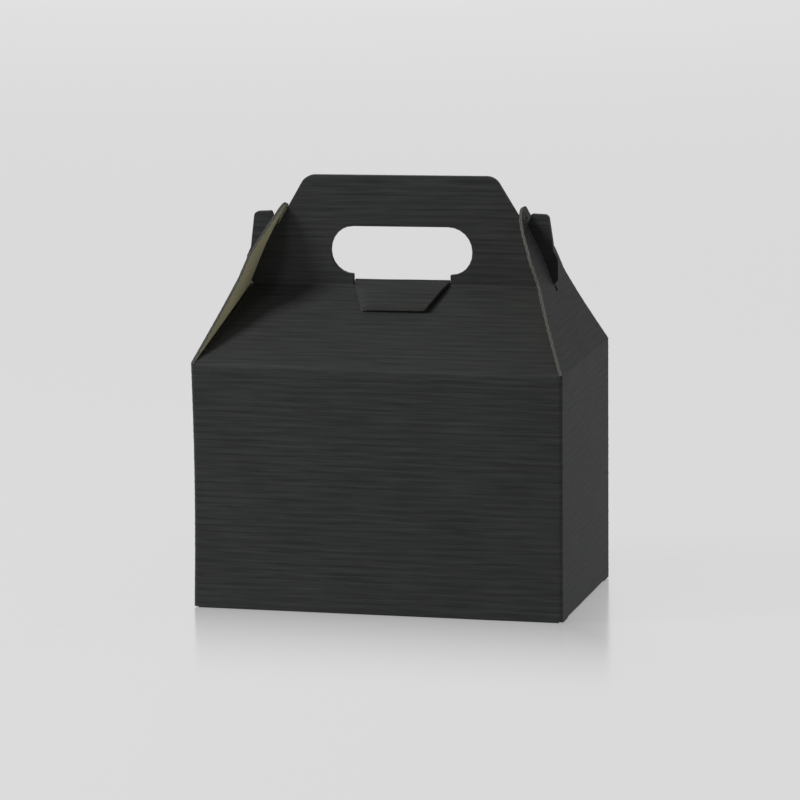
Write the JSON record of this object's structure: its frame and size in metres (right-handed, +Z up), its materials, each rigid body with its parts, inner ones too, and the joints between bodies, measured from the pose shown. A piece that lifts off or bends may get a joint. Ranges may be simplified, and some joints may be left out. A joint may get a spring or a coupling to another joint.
{
  "type": "gable box",
  "caption": "Folded corrugated carton with a locking base, sloping roof panels, a carrying handle with a hand hole, slotted end flaps and a lock tab.",
  "frame": {"origin": "middle of the base, on the surface the box stands on", "axes": "+Z up through the handle, +X along the handle to the right end flap, +Y to the back"},
  "size_m": [0.2032, 0.1238, 0.2292],
  "materials": {
    "black_board": "matte black washboard corrugated board, fine horizontal flute lines"
  },
  "bodies": {
    "box": {"carton": "black_board"},
    "right_flap": {"right_end_flap": "black_board"},
    "left_flap": {"left_end_flap": "black_board"},
    "lock_tab": {"handle_lock_tab": "black_board"}
  },
  "joints": [
    {"name": "right_flap_fold", "type": "hinge", "parent": "box", "child": "right_flap", "pos_m": [0.1016, 0, 0.1334], "axis": [0, 1, 0], "range_deg": [0, 114]},
    {"name": "left_flap_fold", "type": "hinge", "parent": "box", "child": "left_flap", "pos_m": [-0.1016, 0, 0.1334], "axis": [0, -1, 0], "range_deg": [0, 114]},
    {"name": "lock_tab_fold", "type": "hinge", "parent": "box", "child": "lock_tab", "pos_m": [0, 0.0017, 0.17061], "axis": [-1, 0, 0], "range_deg": [0, 121]}
  ]
}
